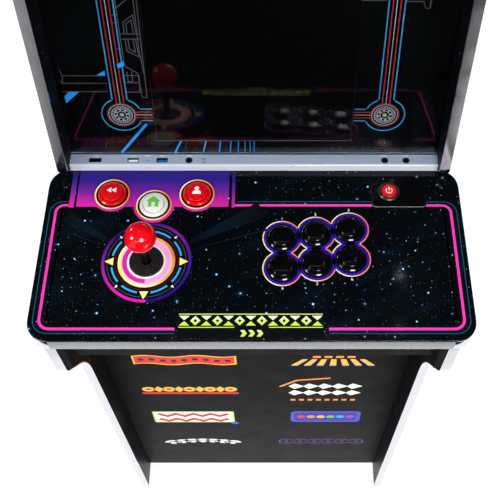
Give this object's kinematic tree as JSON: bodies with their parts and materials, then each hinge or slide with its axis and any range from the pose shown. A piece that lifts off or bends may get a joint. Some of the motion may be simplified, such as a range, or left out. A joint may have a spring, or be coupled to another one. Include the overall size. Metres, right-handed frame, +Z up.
{
  "type": "arcade cabinet",
  "caption": "Upright one-player arcade cabinet: black side boards with chrome edge moulding, star-print deck with ball-top stick and push buttons, leaning screen and lit sign.",
  "frame": {"origin": "middle of the footprint, on the floor", "axes": "+X to the player's right, +Y from the control deck towards the back, +Z up"},
  "size_m": [0.4972, 0.48, 1.473],
  "materials": {
    "side_laminate": "black vinyl-faced board, satin",
    "chrome_trim": "bright chrome-effect edge moulding",
    "front_art": "black faced board with printed emblems, gloss",
    "black_board": "black faced board, satin",
    "raw_board": "unfinished fibreboard",
    "rear_board": "black faced hardboard, matt",
    "deck_art": "printed polycarbonate sheet, gloss",
    "black_steel": "black oxide button-head screws",
    "nylon": "grey nylon",
    "gloss_black": "piano black",
    "red_lens": "translucent red lens",
    "brushed_strip": "blue-grey brushed strip",
    "socket_steel": "plated socket shells",
    "socket_black": "moulded socket black",
    "front_glass": "clear tempered pane",
    "bezel_art": "printed black bezel",
    "display": "display, switched off",
    "circuit_board": "green circuit board",
    "speaker_paper": "speaker cone and magnet",
    "marquee_art": "printed acrylic sign panel",
    "black_metal": "black anodised strip",
    "lamp": "lamp batten and diffuser",
    "matte_black": "moulded black",
    "zinc_steel": "zinc-plated steel",
    "switch_black": "switch case",
    "white_nylon": "white nylon",
    "polished_steel": "polished shaft",
    "red_ball": "gloss red ball",
    "washer_black": "brushed black disc",
    "black_button": "gloss black",
    "red_button": "gloss red",
    "white_button": "gloss white"
  },
  "bodies": {
    "cabinet": {"action_button_housings": "black_button", "av_sockets": "socket_black", "bezel_board": "bezel_art", "bottom_shelf": "black_board", "button_nuts": "matte_black", "button_switches": "switch_black", "circuit_boards": "circuit_board", "cross_rails": "raw_board", "deck_board": "black_board", "deck_floor": "black_board", "deck_front_rail": "black_board", "deck_moulding": "chrome_trim", "deck_overlay": "deck_art", "floor_glides": "nylon", "lcd_panel": "display", "left_side_panel": "side_laminate", "lower_front_panel": "front_art", "lower_rear_panel": "rear_board", "marquee_light": "lamp", "marquee_panel": "marquee_art", "marquee_retainers": "black_metal", "panel_screws": "black_steel", "port_lip": "chrome_trim", "port_panel": "brushed_strip", "power_inlet": "socket_black", "power_plate": "gloss_black", "power_supply": "matte_black", "power_switch_body": "gloss_black", "red_button_housings": "red_button", "right_side_panel": "side_laminate", "screen_frame": "raw_board", "screen_glass": "front_glass", "side_mouldings": "chrome_trim", "speaker_panel": "black_board", "speakers": "speaker_paper", "stick_base_plate": "zinc_steel", "stick_gate": "matte_black", "stick_housing": "matte_black", "stick_switches": "switch_black", "top_panel": "black_board", "upper_rear_panel": "rear_board", "usb_ports": "socket_steel", "white_button_housing": "white_button"},
    "stick_gimbal": {"stick_gimbal": "white_nylon"},
    "stick": {"stick_shaft": "polished_steel", "stick_actuator": "matte_black", "stick_spring": "zinc_steel", "stick_ball": "red_ball"},
    "dust_shutter": {"dust_shutter": "washer_black"},
    "dust_washer": {"dust_washer": "washer_black"},
    "rewind_button": {"rewind_button": "red_button"},
    "home_button": {"home_button": "white_button"},
    "player_button": {"player_button": "red_button"},
    "power_button": {"power_button": "red_lens"},
    "action_button_1": {"action_button_1": "black_button"},
    "action_button_2": {"action_button_2": "black_button"},
    "action_button_3": {"action_button_3": "black_button"},
    "action_button_4": {"action_button_4": "black_button"},
    "action_button_5": {"action_button_5": "black_button"},
    "action_button_6": {"action_button_6": "black_button"}
  },
  "joints": [
    {"name": "stick_fore_aft", "type": "hinge", "parent": "cabinet", "child": "stick_gimbal", "pos_m": [-0.122, -0.1424, 0.857], "axis": [1, 0, 0], "range_deg": [-9, 9], "stiffness_Nm_per_rad": 0.35},
    {"name": "stick_left_right", "type": "hinge", "parent": "stick_gimbal", "child": "stick", "pos_m": [-0.122, -0.1424, 0.857], "axis": [0, 1, 0], "range_deg": [-9, 9], "stiffness_Nm_per_rad": 0.35},
    {"name": "shutter_slide", "type": "slide", "parent": "cabinet", "child": "dust_shutter", "axis": [1, 0, 0], "range_m": [-0.0056, 0.0056]},
    {"name": "washer_slide", "type": "slide", "parent": "dust_shutter", "child": "dust_washer", "axis": [0, 1, 0], "range_m": [-0.0056, 0.0056]},
    {"name": "rewind_press", "type": "slide", "parent": "cabinet", "child": "rewind_button", "axis": [0, 0, -1], "range_m": [0, 0.0032], "stiffness_N_per_m": 250},
    {"name": "home_press", "type": "slide", "parent": "cabinet", "child": "home_button", "axis": [0, 0, -1], "range_m": [0, 0.0032], "stiffness_N_per_m": 250},
    {"name": "player_press", "type": "slide", "parent": "cabinet", "child": "player_button", "axis": [0, 0, -1], "range_m": [0, 0.0032], "stiffness_N_per_m": 250},
    {"name": "action_button_1_press", "type": "slide", "parent": "cabinet", "child": "action_button_1", "axis": [0, 0, -1], "range_m": [0, 0.0032], "stiffness_N_per_m": 250},
    {"name": "action_button_2_press", "type": "slide", "parent": "cabinet", "child": "action_button_2", "axis": [0, 0, -1], "range_m": [0, 0.0032], "stiffness_N_per_m": 250},
    {"name": "action_button_3_press", "type": "slide", "parent": "cabinet", "child": "action_button_3", "axis": [0, 0, -1], "range_m": [0, 0.0032], "stiffness_N_per_m": 250},
    {"name": "action_button_4_press", "type": "slide", "parent": "cabinet", "child": "action_button_4", "axis": [0, 0, -1], "range_m": [0, 0.0032], "stiffness_N_per_m": 250},
    {"name": "action_button_5_press", "type": "slide", "parent": "cabinet", "child": "action_button_5", "axis": [0, 0, -1], "range_m": [0, 0.0032], "stiffness_N_per_m": 250},
    {"name": "action_button_6_press", "type": "slide", "parent": "cabinet", "child": "action_button_6", "axis": [0, 0, -1], "range_m": [0, 0.0032], "stiffness_N_per_m": 250},
    {"name": "power_press", "type": "slide", "parent": "cabinet", "child": "power_button", "axis": [0, 0, -1], "range_m": [0, 0.002], "stiffness_N_per_m": 250}
  ],
  "couplings": [
    {"joint": "shutter_slide", "follows": "stick_left_right", "m_per_rad": 0.0348},
    {"joint": "washer_slide", "follows": "stick_fore_aft", "m_per_rad": -0.0348}
  ]
}
